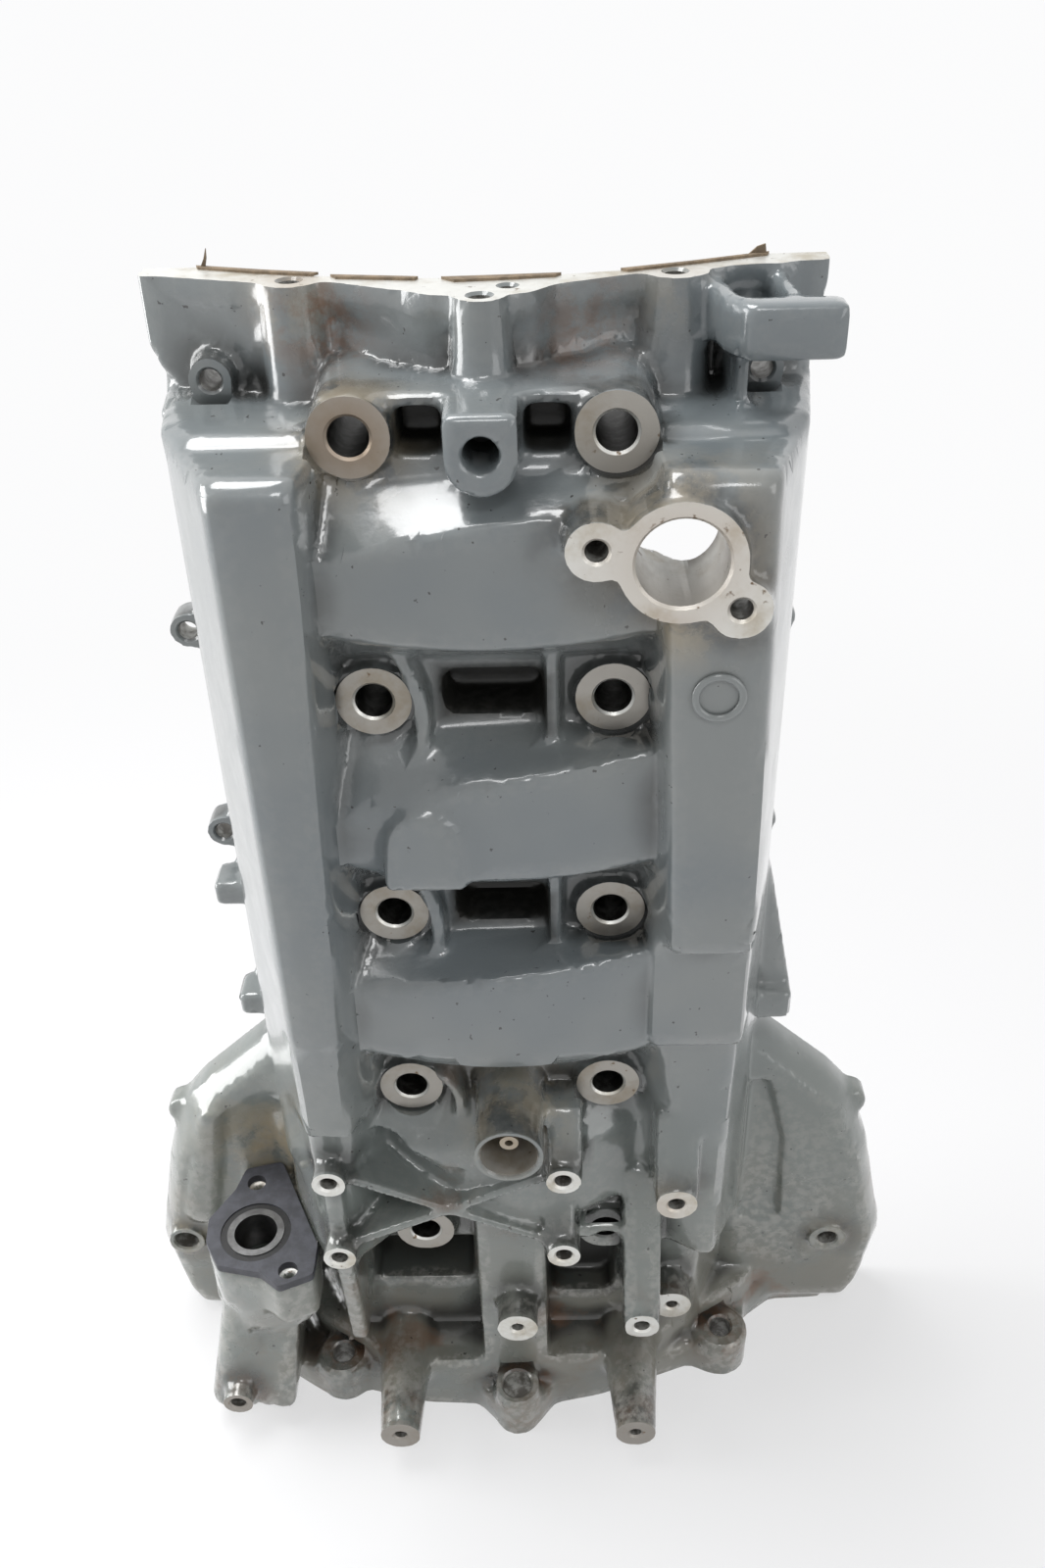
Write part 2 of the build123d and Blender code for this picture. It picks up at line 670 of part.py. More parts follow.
def front_holes():
    """Bolt holes, threads and bores along the viewing direction."""
    cuts = []
    for index in range(row_count):
        for x in (-bolt_column_x, bolt_column_x):
            cuts.append(rod(x, row_z(index), -1, rail_depth + 4, bolt_hole_radius))
    for x, z, back, front, back_radius, front_radius, radius in lower_bosses():
        cuts.append(rod(x, z, front - thread_length, front + 1, radius))
    for x, z in port_ears:
        cuts.append(rod(x, z, port_depth - port_thread_length, port_depth + 1, m8_radius))
    cuts.append(rod(port_x, port_z, wall_middle_depth, port_depth + 1, port_radius))
    cuts.append(rod(0, row_z(0), spot_face_depth - 10, tab_depth + 1, tab_hole_radius))
    cuts.append(rod(cup_x, cup_z, spot_face_depth, cup_depth + 1, cup_bore_radius))
    for index in range(1, last_row):
        cuts.append(rod(left_lug_x, row_z(index), -1, flange_thickness + 1, lug_hole_radius))
    for index in range(1, last_row - 1):
        cuts.append(rod(right_lug_x, row_z(index), -1, thread_length, m6_radius))
    for side in (-1, 1):
        cuts.append(rod(side * upper_lug_x, upper_lug_z, -1, upper_lug_depth + 1, lug_hole_radius))
    cuts.append(rod(*left_wing_hole, -1, wing_depth + 3, left_wing_hole_radius))
    cuts.append(rod(*right_wing_hole, -1, wing_depth + 3, right_wing_hole_radius))
    for x, z in dowel_places():
        cuts.append(rod(x, z, -1, dowel_length - dowel_stand, dowel_radius + dowel_press_step))
    return cuts


def upright_holes():
    """Bearing housing, bolt holes, threads and bores along the crank axis."""
    cuts = [post(0, 0, row_z(last_row) - web_thickness, row_z(0) + web_thickness, housing_radius)]
    for x, depth in ((-top_boss_x, top_boss_depth), (top_boss_x, top_boss_depth), (0, top_centre_depth)):
        cuts.append(post(x, depth, overall_height - 20, overall_height + 1, top_hole_radius))
    cuts.append(post(8, 31, overall_height - 10, overall_height + 1, m6_radius))
    cuts.append(post(*left_ear, -1, ear_height + 20, ear_hole_radius))
    cuts.append(post(*right_ear, -1, ear_height + 20, ear_hole_radius))
    cuts.append(post(*centre_lug, centre_lug_height - 3, centre_lug_height + 1, 6.6))
    cuts.append(post(passage_x, passage_depth, column_top_z - 30, column_top_z + 1, passage_radius))
    cuts.append(post(passage_x, passage_depth, column_top_z - sleeve_length, column_top_z + 1, sleeve_radius))
    for x, depth in plate_bolts:
        cuts.append(post(x, depth, column_top_z - thread_length, column_top_z + 1, m6_radius))
    return cuts


def cup_stub():
    """Small tube on the floor of the cup."""
    tube = rod(cup_x, cup_z, spot_face_depth - 2, cup_depth - 11, cup_stub_radius)
    return tube, rod(cup_x, cup_z, cup_depth - 21, cup_depth - 10, cup_stub_radius - 2)


def casting():
    solids = [core_block(), left_rail(), right_rail(), top_row_web(), top_flange(), bolt_bosses(), raised_pad(),
              lower_face(), lowest_drum(), parting_flange(), port_neck(), cross_ribs(), boss_ribs(),
              lower_housing(), oil_column(), bracket(), side_tabs(), cup_row_rib(), left_wing_ridge()]
    solids += [bulge(index) for index in range(last_row - 1)]
    solids += [well_ribs(index) for index in range(1, last_row - 1)]
    solids += [rod(*boss[:6]) for boss in lower_bosses()]
    solids += [wing_plate(-1, left_wing_hole), wing_plate(1, right_wing_hole)]
    solids.append(rod(cup_x, cup_z, well_depth - 9, cup_depth, cup_radius + 0.8, cup_radius))
    body = fuse(solids)
    hollows = [bay_cavity(index) for index in range(last_row)]
    hollows += [slot(index) for index in range(1, last_row - 1)]
    hollows += [top_pockets(), lower_openings(), wing_hollow(-1), wing_hollow(1), right_wing_recess(), top_opening()]
    hollows.append(extrude(Plane.XY.offset(column_top_z) * offset(plate_face(), 1), amount=40))
    for cut in hollows + front_holes() + upright_holes():
        body -= cut
    stub, stub_hole = cup_stub()
    return body + stub - stub_hole


def bearing_shell(index):
    """Half shell lining one web."""
    z = row_z(index)
    ring = post(0, 0, z - shell_width / 2, z + shell_width / 2, housing_radius)
    ring -= post(0, 0, z - shell_width, z + shell_width, housing_radius - shell_wall)
    return ring - Pos(0, housing_radius, z) * Box(3 * housing_radius, 2 * housing_radius, 2 * shell_width)


def dowels():
    """Hollow dowels: a slightly thicker end pressed into the casting, and a free end for the block."""
    pieces = []
    for x, z in dowel_places():
        pressed = rod(x, z, 0, dowel_length - dowel_stand, dowel_radius + dowel_press_step)
        free = rod(x, z, -dowel_stand, 1, dowel_radius)
        pieces.append(pressed + free - rod(x, z, -dowel_stand - 1, dowel_length, dowel_bore_radius))
    return pieces


def passage_plate():
    top = column_top_z + plate_thickness
    plate = extrude(Plane.XY.offset(column_top_z) * plate_face(), amount=plate_thickness)
    plate -= post(passage_x, passage_depth, column_top_z - 1, top + 1, seal_radius)
    for x, depth in plate_bolts:
        plate -= post(x, depth, column_top_z - 1, top + 1, plate_hole_radius)
    return plate


def passage_seal():
    top = column_top_z + plate_thickness - 0.6
    ring = post(passage_x, passage_depth, column_top_z, top, seal_radius)
    return ring - post(passage_x, passage_depth, column_top_z - 1, top + 1, sleeve_radius)


def passage_sleeve():
    top = column_top_z + plate_thickness
    tube = post(passage_x, passage_depth, column_top_z - sleeve_length, top, sleeve_radius)
    return tube - post(passage_x, passage_depth, column_top_z - sleeve_length - 1, top + 1, passage_radius)


def gasket_scraps():
    """Torn scraps of the old gasket and sealant on the top flange."""
    top = overall_height
    strips = [[(-90, 0.5), (-89, 3), (-70, 10), (-52, 15), (-50, 13), (-68, 8)],
              [(-46, 16), (-44, 19), (-20, 23), (-19, 21)],
              [(-12, 22), (-8, 26), (6, 25), (22, 23), (24, 20.5), (4, 21.5)],
              [(42, 17), (44, 19), (66, 11), (88, 3), (89, 0.5), (64, 10)]]
    pieces = [plan_slab(points, top, top + scrap_thickness) for points in strips]
    pieces[0] += front_slab([(-88.6, top), (-87, top), (-86.2, top + 3), (-86, top + 6), (-87, top + 3)], 1.0, 2.2)
    pieces[3] += front_slab([(82, top), (88, top), (87.5, top + 3.4), (85, top + 2.6)], 1.5, 2.5)
    return pieces


def write(name, shape):
    export_step(shape, os.path.join("parts", name + ".step"))


def main():
    os.makedirs("parts", exist_ok=True)
    write("crankcase_casting", casting())
    for index in range(row_count):
        write(f"main_bearing_shell_{index + 1}", bearing_shell(index))
    write("locating_dowels", Compound(dowels()))
    write("oil_passage_gasket", passage_plate())
    write("oil_passage_seal_ring", passage_seal())
    write("oil_passage_sleeve", passage_sleeve())
    write("top_gasket_remnants", Compound(gasket_scraps()))


main()
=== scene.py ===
import itertools
import math

import bmesh
import bpy
import numpy as np
import openvdb
from mathutils import Matrix, Vector


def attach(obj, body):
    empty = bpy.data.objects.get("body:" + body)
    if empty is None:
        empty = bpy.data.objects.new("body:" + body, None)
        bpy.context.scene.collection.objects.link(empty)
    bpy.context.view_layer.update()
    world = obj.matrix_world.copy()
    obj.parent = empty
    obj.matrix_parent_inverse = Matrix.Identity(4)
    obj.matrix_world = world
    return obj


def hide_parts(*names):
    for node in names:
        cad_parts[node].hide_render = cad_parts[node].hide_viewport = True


# Crankcase half in its studio. Lengths are in metres; MM turns millimetres into metres.
# X is right, Z is up the crank axis, and the outside of the part faces -Y.
# "Depth" is the distance in front of the parting plane Y = 0.
MM = 0.001

# Camera, solved from the photograph
IMAGE_HEIGHT = 1600
FOCAL_PIXELS = 1401.76
CAMERA_PLACE = Vector((16.687, -447.633, 604.187)) * MM
CAMERA_PITCH = 0.5933876
CAMERA_ROLL = -0.0298113
CAMERA_YAW = 0.0207819
FILM_SIZE = 36.0

# Level set that gives the casting its radii
VOXEL = 1.25 * MM
MARGIN = 10 * MM
BAND = 6.0
CAST_RADIUS_BLUR = 1.3 * MM
EDGE_BLUR = 3.0 * MM
CAVITY_BLUR = 8.0 * MM
ADAPTIVITY = 0.16
STOCK = 3.0 * MM

# Main dimensions, as in the solids
ROW_PITCH = 88.6 * MM
TOP_ROW_Z = 466.0 * MM
ROW_COUNT = 5
LAST_ROW = ROW_COUNT - 1
HALF_WEB = 11.5 * MM
BOLT_X = 39.0 * MM
BOLT_HOLE = 6.2 * MM
SPOT_FACE = 12.4 * MM
SPOT_DEPTH = 62.0 * MM
PORT_DEPTH = 92.0 * MM
HEIGHT = 500.0 * MM
M8 = 3.4 * MM
M6 = 2.6 * MM
THREAD = 16.0 * MM
DOWEL_SEAT = 6.1 * MM
DOWEL_LENGTH = 7.0 * MM

# Material that fills the holes of the solids, so that they can be cut again
ALONG_Y = 1
ALONG_Z = 2
FRONT_PLUG_WALL = 1.5 * MM
PLUG_WALL = 1.0 * MM
PLUG_LENGTH = 30.0 * MM

# Cuts: chamfer at a hole's mouth, ring round a face, groove round a main bolt, and sides of the cutters
TAPER = 0.9 * MM
FACING = 1.2 * MM
GROOVE = 0.7 * MM
CUT_REACH = STOCK + 2.0 * MM
FACING_PASSES = 3
FACING_SIDES = 64
HOLE_SIDES = 48
BORE_SIDES = 128

# Blocks that plane the top, the foot and the parting face, and their cells
CELL = 5.0 * MM
BLOCK_X = 400.0 * MM
BLOCK_Y = 150.0 * MM
BLOCK_Z = 540.0 * MM
BLOCK_SIDE = 20.0 * MM

# Cup, with the small tube that stands on its floor
CUP_FACE = (0, 197.8 * MM, 97.0 * MM, 13.4 * MM, 11.0 * MM, 35.0 * MM)
CUP_STUB = 3.6 * MM
CUP_STUB_HOLE = 1.6 * MM
CUP_STUB_TOP = 28.0 * MM
CUP_STUB_FLOOR = 14.0 * MM

# Raised ring on the right rail
RING_PLACE = Vector((69.5, -87.9, 392.0)) * MM
RING_MARK = 8.4 * MM
RING_WIDTH = 2.4 * MM
RING_RISE = 1.2 * MM
RING_CROWN = 0.4 * MM
RING_SIDES = 64

# Arch-shaped pad on the second throw bulge
PAD_X = -25.0 * MM
PAD_ARCH_Z = 332.0 * MM
PAD_RADIUS = 14.0 * MM
PAD_LOW_Z = 307.0 * MM
PAD_DEPTH = 50.0 * MM
PAD_RISE = 2.2 * MM

# Material slots of the casting, and how near a face's centre lies to a cut that it belongs to
ENAMEL_SLOT, BARE_SLOT, THREAD_SLOT, BOLT_SHADE_SLOT = range(4)
NEAR_PLANE = 0.05 * MM
NEAR_HOLE = 0.1 * MM
WIDE_BORE = 10.0 * MM
SHARP_ANGLE = math.radians(38)

# Bare seats on the oil column: their (x, depth) places, radius and height
PLATE_SEATS = ((-118.0 * MM, 32.0 * MM), (-97.0 * MM, 79.0 * MM))
PLATE_SEAT = 5.5 * MM
PLATE_Z = 104.0 * MM
NEAR_PLATE = 1.5 * MM

# Oil and painted shade on the walls behind a ring's face
OIL_SHADE_REACH = 7.0 * MM
OIL_SHADE_START = 0.2 * MM
OIL_SHADE_DEPTH = 2.5 * OIL_SHADE_REACH

# Stains: (x, depth, z, reach, strength), in millimetres
RUST_SPOTS = ((-19, 66, 212, 8, 0.9), (19, 66, 212, 8, 0.8), (-66, 70, 96, 12, 0.6), (-53, 70, 60, 16, 0.6),
              (51, 70, 50, 14, 0.5), (-112, 90, 60, 14, 0.4), (0, 66, 130, 12, 0.5), (-27, 84, 160, 9, 1.0),
              (-53, 95, 26, 12, 0.7), (51, 95, 26, 12, 0.6), (-84, 60, 18, 14, 0.8), (95, 50, 18, 14, 0.7),
              (-50, 20, 488, 14, 1.0), (30, 26, 486, 16, 0.6), (-128, 80, 20, 14, 0.6), (0, 80, 12, 20, 0.5),
              (-72, 84, 118, 9, 0.6), (66, 80, 140, 10, 0.5), (-104, 60, 60, 16, 0.4))
RESIDUE_SPOTS = ((-112, 14, 124, 24, 1.0), (-100, 34, 130, 16, 0.8), (56, 86, 416, 12, 0.7),
                 (56, 92, 440, 26, 0.55), (56, 88, 461, 9, 0.5), (-39, 62, 466, 15, 1.0),
                 (0, 75, 197.8, 18, 0.9), (60, 80, 150, 12, 0.6), (-58, 20, 494, 10, 0.7),
                 (58, 20, 494, 10, 0.5), (-160, 22, 57, 13, 0.6), (147, 22, 53, 12, 0.4))

# Pockets in painted shade: (left, right, back depth, front depth, bottom, top), in millimetres
SHADE_ROOMS = ((-20, 20, 0, 68, 366, 389), (-20, 20, 0, 68, 277.5, 300.5), (-28, -10, 0, 58, 456, 476),
              (10, 28, 0, 58, 456, 476), (-67, -19, 0, 60, 61, 98), (12, 45, 0, 60, 50, 94))
SHADE_FADE = 5.0
SHADE_AT_MOUTH = 0.35


def row_z(index):
    """Height of a main bearing row, counted from the top."""
    return TOP_ROW_Z - index * ROW_PITCH


def main_bolt_faces():
    """Faces of the ten main bolts, row by row from the top, left before right."""
    length = SPOT_DEPTH + 2 * STOCK
    places = [(x, row_z(index)) for index in range(ROW_COUNT) for x in (-BOLT_X, BOLT_X)]
    return [(x, z, SPOT_DEPTH, SPOT_FACE, BOLT_HOLE, length) for x, z in places]


def bare_faces():
    """Round bare faces to the front: (x, z, depth, face radius, hole radius, hole length)."""
    faces = main_bolt_faces()[:-1]
    bosses = ((-72, 172.5, 88, 7.0, M8), (-72, 127, 88, 7.0, M8), (20.5, 172.5, 88, 7.0, M8),
              (20.5, 127, 88, 7.0, M8), (66, 154, 85, 8.2, M8), (54, 74, 85, 7.4, M8), (69, 62, 66, 8.8, M6),
              (0, 74, 85, 9.0, M6), (-53, 26, 105, 9.0, M6), (51, 26, 105, 9.0, M6), (-128, 26, 89, 7.0, M8))
    for x, z, depth, radius, hole in bosses:
        faces.append((x * MM, z * MM, depth * MM, radius * MM, hole, THREAD))
    for x, z in ((32, 442), (74, 423)):
        faces.append((x * MM, z * MM, PORT_DEPTH, 9.3 * MM, M8, 20 * MM))
    faces.append((56.5 * MM, 437.8 * MM, PORT_DEPTH, 18.8 * MM, 13.5 * MM, 47 * MM))
    return faces


def painted_faces():
    """Round faces to the front that stay in paint: cup, last main bolt, wings and lugs; rows as above."""
    faces = [CUP_FACE, main_bolt_faces()[-1],
             (-160 * MM, 57 * MM, 24 * MM, 8.5 * MM, 5.5 * MM, 27 * MM),
             (147 * MM, 53 * MM, 24 * MM, 8.5 * MM, 4.5 * MM, 27 * MM)]
    for x in (-86, 86):
        faces.append((x * MM, 471 * MM, 22 * MM, 7 * MM, 3.5 * MM, 25 * MM))
    for index in (1, 2, 3):
        faces.append((-110.5 * MM, row_z(index), 10 * MM, 6.4 * MM, 3.5 * MM, 13 * MM))
    return faces


def front_faces():
    return bare_faces() + painted_faces()


def upright_faces():
    """Round machined faces to the top: (x, depth, z, face radius, hole radius, hole length)."""
    rows = ((-58.3, 18.9, 500, 0, 3.4, 20), (58.3, 18.9, 500, 0, 3.4, 20), (0, 41, 500, 0, 3.4, 20),
            (8, 31, 500, 0, 2.6, 10), (-84, 59, 20, 9, 5.1, 23), (95, 47.5, 20, 9.5, 5.1, 23),
            (-1.5, 79, 24, 9.5, 6.6, 3))
    return [tuple(value * MM for value in row) for row in rows]


def back_holes():
    """Holes in the parting face: (x, z, hole radius, hole length)."""
    places = ((-86 * MM, row_z(LAST_ROW)), (64 * MM, row_z(0)))
    holes = [(x, z, DOWEL_SEAT, DOWEL_LENGTH) for x, z in places]
    for index in (1, 2):
        holes.append((101 * MM, row_z(index), M6, THREAD))
    return holes


def bores():
    """Bores round the crank axis: (radius, low end, high end of the cut, walls as (low, high))."""
    webs = [(row_z(index) - HALF_WEB, row_z(index) + HALF_WEB) for index in range(ROW_COUNT)]
    return ((26 * MM, row_z(LAST_ROW) - 2 * HALF_WEB, row_z(0) + 2 * HALF_WEB, webs),
            (44 * MM, -STOCK, 32 * MM, ((0, 31 * MM),)))


def mesh_object(name, points, faces):
    mesh = bpy.data.meshes.new(name)
    mesh.from_pydata(points, [], faces)
    mesh.update()
    piece = bpy.data.objects.new(name, mesh)
    bpy.context.scene.collection.objects.link(piece)
    return piece


def turned_object(name, turnings, sides):
    """One mesh of closed turned bodies: (place, axis, profile), the profile as (reach, radius) points."""
    points = []
    faces = []
    for place, axis, profile in turnings:
        turn = Vector((0, 0, 1)).rotation_difference(axis).to_matrix()
        rings = []
        for reach, radius in profile:
            first = len(points)
            around = sides if radius > 0 else 1
            rings.append([first + side % around for side in range(sides)])
            for side in range(around):
                angle = 2 * math.pi * side / sides
                spot = Vector((radius * math.cos(angle), radius * math.sin(angle), reach))
                points.append(place + turn @ spot)
        for lower, upper in zip(rings, rings[1:]):
            for side in range(sides):
                after = (side + 1) % sides
                corners = (lower[side], lower[after], upper[after], upper[side])
                faces.append(list(dict.fromkeys(corners)))
    return mesh_object(name, points, faces)


def planing_block(name, corner, across, along, out):
    """Block beyond a machined plane, in small cells, so that no cut face is wide enough to hold a hole."""
    rows = round(across.length / CELL)
    columns = round(along.length / CELL)
    points = []
    for layer in (0, 1):
        for i in range(rows + 1):
            for j in range(columns + 1):
                points.append(corner + across * (i / rows) + along * (j / columns) + out * layer)

    def index(layer, spot):
        return (layer * (rows + 1) + spot[0]) * (columns + 1) + spot[1]

    faces = []
    for i in range(rows):
        for j in range(columns):
            cell = ((i, j), (i, j + 1), (i + 1, j + 1), (i + 1, j))
            faces.append([index(0, spot) for spot in cell])
            faces.append([index(1, spot) for spot in reversed(cell)])
    rim = [(i, 0) for i in range(rows)] + [(rows, j) for j in range(columns)]
    rim += [(i, columns) for i in range(rows, 0, -1)] + [(0, j) for j in range(columns, 0, -1)]
    for here, after in zip(rim, rim[1:] + rim[:1]):
        faces.append([index(0, here), index(0, after), index(1, after), index(1, here)])
    return mesh_object(name, points, faces)


def cut(piece, cutter):
    """Cuts one closed mesh out of another and removes the cutter."""
    modifier = piece.modifiers.new("cut", "BOOLEAN")
    modifier.operation = "DIFFERENCE"
    modifier.solver = "MANIFOLD"
    modifier.object = cutter
    depsgraph = bpy.context.evaluated_depsgraph_get()
    mesh = bpy.data.meshes.new_from_object(piece.evaluated_get(depsgraph))
    piece.modifiers.clear()
    old = piece.data
    piece.data = mesh
    bpy.data.meshes.remove(old)
    bpy.data.objects.remove(cutter)


def mesh_arrays(mesh):
    mesh.calc_loop_triangles()
    points = np.empty(len(mesh.vertices) * 3, np.float32)
    mesh.vertices.foreach_get("co", points)
    triangles = np.empty(len(mesh.loop_triangles) * 3, np.uint32)
    mesh.loop_triangles.foreach_get("vertices", triangles)
    return points.reshape(-1, 3), triangles.reshape(-1, 3)


def blur(field, width):
    """Gaussian blur of a dense array, width in metres."""
    sigma = width / VOXEL
    reach = math.ceil(3 * sigma)
    weights = np.exp(-0.5 * (np.arange(-reach, reach + 1) / sigma) ** 2)
    weights /= weights.sum()
    for axis in range(3):
        pads = [(0, 0)] * 3
        pads[axis] = (reach, reach)
        padded = np.pad(field, pads, mode="edge")
        field = np.zeros_like(field)
        for step, weight in enumerate(weights):
            window = [slice(None)] * 3
            window[axis] = slice(step, step + field.shape[axis])
            field += np.float32(weight) * padded[tuple(window)]
    return field


def sample(field, low, points):
    """Values of a dense array at points, straight-line between its voxels."""
    place = (points - low) / VOXEL
    base = np.clip(np.floor(place).astype(int), 0, np.array(field.shape) - 2)
    part = np.clip(place - base, 0, 1)
    total = np.zeros(len(points), np.float32)
    for dx, dy, dz in itertools.product((0, 1), repeat=3):
        weight = np.abs(1 - dx - part[:, 0]) * np.abs(1 - dy - part[:, 1]) * np.abs(1 - dz - part[:, 2])
        total += weight * field[base[:, 0] + dx, base[:, 1] + dy, base[:, 2] + dz]
    return total


def solid_field(mesh):
    """Distance field of a closed mesh as a dense array, in voxels, and its low corner."""
    points, triangles = mesh_arrays(mesh)
    low = points.min(0) - MARGIN
    size = np.ceil((points.max(0) + MARGIN - low) / VOXEL).astype(int) + 1
    unit = openvdb.createLinearTransform(1.0)
    grid = openvdb.FloatGrid.createLevelSetFromPolygons((points - low) / VOXEL, triangles=triangles,
                                                        transform=unit, halfWidth=BAND)
    field = np.full(size, BAND, np.float32)
    grid.copyToArray(field)
    return field, low


def add_stock(field, low):
    """Stretches the casting past its machined planes and bosses, so that they can be cut crisp."""
    reach = math.ceil(STOCK / VOXEL)
    top = int((HEIGHT - low[2]) / VOXEL) - 1
    base = int((0 - low[2]) / VOXEL) + 2
    back = int((0 - low[1]) / VOXEL) - 1
    field[:, :, top + 1:top + reach + 2] = field[:, :, top:top + 1]
    field[:, :, base - reach - 2:base] = field[:, :, base:base + 1]
    field[:, back + 1:back + reach + 2, :] = field[:, back:back + 1, :]
    axes = [low[i] + VOXEL * np.arange(field.shape[i]) for i in range(3)]
    for x, z, depth, radius, hole, length in front_faces():
        plug = min(length, PLUG_LENGTH)
        add_rod(field, axes, ALONG_Y, (x, z), -depth - STOCK, -depth + STOCK, radius)
        add_rod(field, axes, ALONG_Y, (x, z), -depth - STOCK, -depth + plug, hole + FRONT_PLUG_WALL)
    for x, depth, z, radius, hole, length in upright_faces():
        add_rod(field, axes, ALONG_Z, (x, -depth), z - length, z + STOCK, hole + PLUG_WALL)
        if radius > 0:
            add_rod(field, axes, ALONG_Z, (x, -depth), z - STOCK, z + STOCK, radius)
    for radius, low_end, high_end, walls in bores():
        for wall_low, wall_high in walls:
            add_rod(field, axes, ALONG_Z, (0, 0), wall_low, wall_high, radius + PLUG_WALL)


def add_rod(field, axes, along, place, low_end, high_end, radius):
    """Joins a round rod along axis number `along` to the field."""
    across = [axis for axis in range(3) if axis != along]
    windows = [None] * 3
    skin = BAND * VOXEL
    for axis, centre in zip(across, place):
        windows[axis] = np.nonzero(np.abs(axes[axis] - centre) < radius + skin)[0]
    in_length = (axes[along] > low_end - skin) & (axes[along] < high_end + skin)
    windows[along] = np.nonzero(in_length)[0]
    block = tuple(slice(w[0], w[-1] + 1) for w in windows)
    grids = np.meshgrid(*[axes[i][block[i]] for i in range(3)], indexing="ij")
    radial = np.hypot(grids[across[0]] - place[0], grids[across[1]] - place[1]) - radius
    ends = np.maximum(low_end - grids[along], grids[along] - high_end)
    rod = np.maximum(radial, ends) / VOXEL
    field[block] = np.minimum(field[block], rod.astype(np.float32))


def raise_pad(field, low):
    """Raises the arch-shaped pad a little in front of its throw bulge."""
    axes = [low[i] + VOXEL * np.arange(field.shape[i]) for i in range(3)]
    across = np.abs(axes[0] - PAD_X)[:, None]
    up = (axes[2] - PAD_ARCH_Z)[None, :]
    outline = np.where(up > 0, np.hypot(across, up), across) < PAD_RADIUS
    outline &= (axes[2] > PAD_LOW_Z)[None, :]
    front = np.gradient(field, axis=1) < 0
    front &= (axes[1] < -PAD_DEPTH)[None, :, None]
    field[outline[:, None, :] & front] -= PAD_RISE / VOXEL


def rounded_casting(node):
    """The casting with its cast radii, before machining, and the fields that it came from."""
    field, low = solid_field(node.data)
    add_stock(field, low)
    raise_pad(field, low)
    soft = blur(field, CAST_RADIUS_BLUR)
    grid = openvdb.FloatGrid(BAND)
    grid.copyFromArray(soft, tolerance=0.0)
    points, triangles, quads = grid.convertToPolygons(isovalue=0.0, adaptivity=ADAPTIVITY)
    faces = [tuple(face) for group in (triangles, quads) for face in group[:, ::-1].tolist()]
    piece = mesh_object("casting_body", (points * VOXEL + low).tolist(), faces)
    return piece, field, soft, low


def facing_profile(radius):
    """Facing cut: the face and a ring round it, out past the stock; main bolts get a groove as their ring."""
    wide = radius + FACING
    ring = [(0, radius), (0, wide)]
    if radius == SPOT_FACE:
        ring = [(0, radius), (-GROOVE, radius), (-GROOVE, wide)]
    return [(0, 0)] + ring + [(CUT_REACH, wide), (CUT_REACH, 0)]


def hole_profile(hole, length):
    """Hole with a chamfer at its mouth."""
    mouth = hole + 2 * TAPER
    return [(0, 0), (0, hole), (length - TAPER, hole), (length + TAPER, mouth), (length + CUT_REACH, mouth),
            (length + CUT_REACH, 0)]


def cup_profile(hole, length):
    """Bore of the cup round the small tube on its floor."""
    stub = [(CUP_STUB_FLOOR, 0), (CUP_STUB_FLOOR, CUP_STUB_HOLE), (CUP_STUB_TOP, CUP_STUB_HOLE),
            (CUP_STUB_TOP, CUP_STUB), (0, CUP_STUB)]
    return stub + hole_profile(hole, length)[1:]


def plane_faces(piece):
    """Planes the top, the foot and the parting face."""
    x_axis = Vector((BLOCK_X, 0, 0))
    y_axis = Vector((0, BLOCK_Y, 0))
    z_axis = Vector((0, 0, BLOCK_Z))
    left = -BLOCK_X / 2
    front = BLOCK_SIDE - BLOCK_Y
    up = Vector((0, 0, BLOCK_SIDE))
    back = Vector((0, BLOCK_SIDE, 0))
    cut(piece, planing_block("above", Vector((left, front, HEIGHT)), x_axis, y_axis, up))
    cut(piece, planing_block("below", Vector((left, front, 0)), y_axis, x_axis, -up))
    cut(piece, planing_block("behind", Vector((left, 0, -BLOCK_SIDE)), z_axis, x_axis, back))


def machine(piece):
    """Cuts the flat faces and the holes into the rounded casting."""
    plane_faces(piece)
    front = Vector((0, -1, 0))
    up = Vector((0, 0, 1))
    facings = []
    holes = []
    for row in front_faces():
        x, z, depth, radius, hole, length = row
        profile = cup_profile if row == CUP_FACE else hole_profile
        facings.append((Vector((x, -depth, z)), front, facing_profile(radius)))
        holes.append((Vector((x, length - depth, z)), front, profile(hole, length)))
    for x, z, hole, length in back_holes():
        holes.append((Vector((x, -length, z)), -front, hole_profile(hole, length)))
    for x, depth, z, radius, hole, length in upright_faces():
        if radius > 0:
            facings.append((Vector((x, -depth, z)), up, facing_profile(radius)))
        holes.append((Vector((x, -depth, z - length)), up, hole_profile(hole, length)))
    for start in range(FACING_PASSES):
        cut(piece, turned_object("facings", facings[start::FACING_PASSES], FACING_SIDES))
    cut(piece, turned_object("holes", holes, HOLE_SIDES))
    for radius, low_end, high_end, walls in bores():
        profile = [(0, 0), (0, radius), (high_end - low_end, radius), (high_end - low_end, 0)]
        cut(piece, turned_object("bore", [(Vector((0, 0, low_end)), up, profile)], BORE_SIDES))


def spot_strength(points, spots):
    """Strongest of a set of round stains at each point."""
    total = np.zeros(len(points), np.float32)
    for x, depth, z, reach, strength in spots:
        away = np.linalg.norm(points - np.array((x, -depth, z)) * MM, axis=1)
        total = np.maximum(total, strength * np.exp(-(away / (reach * MM)) ** 2))
    return total


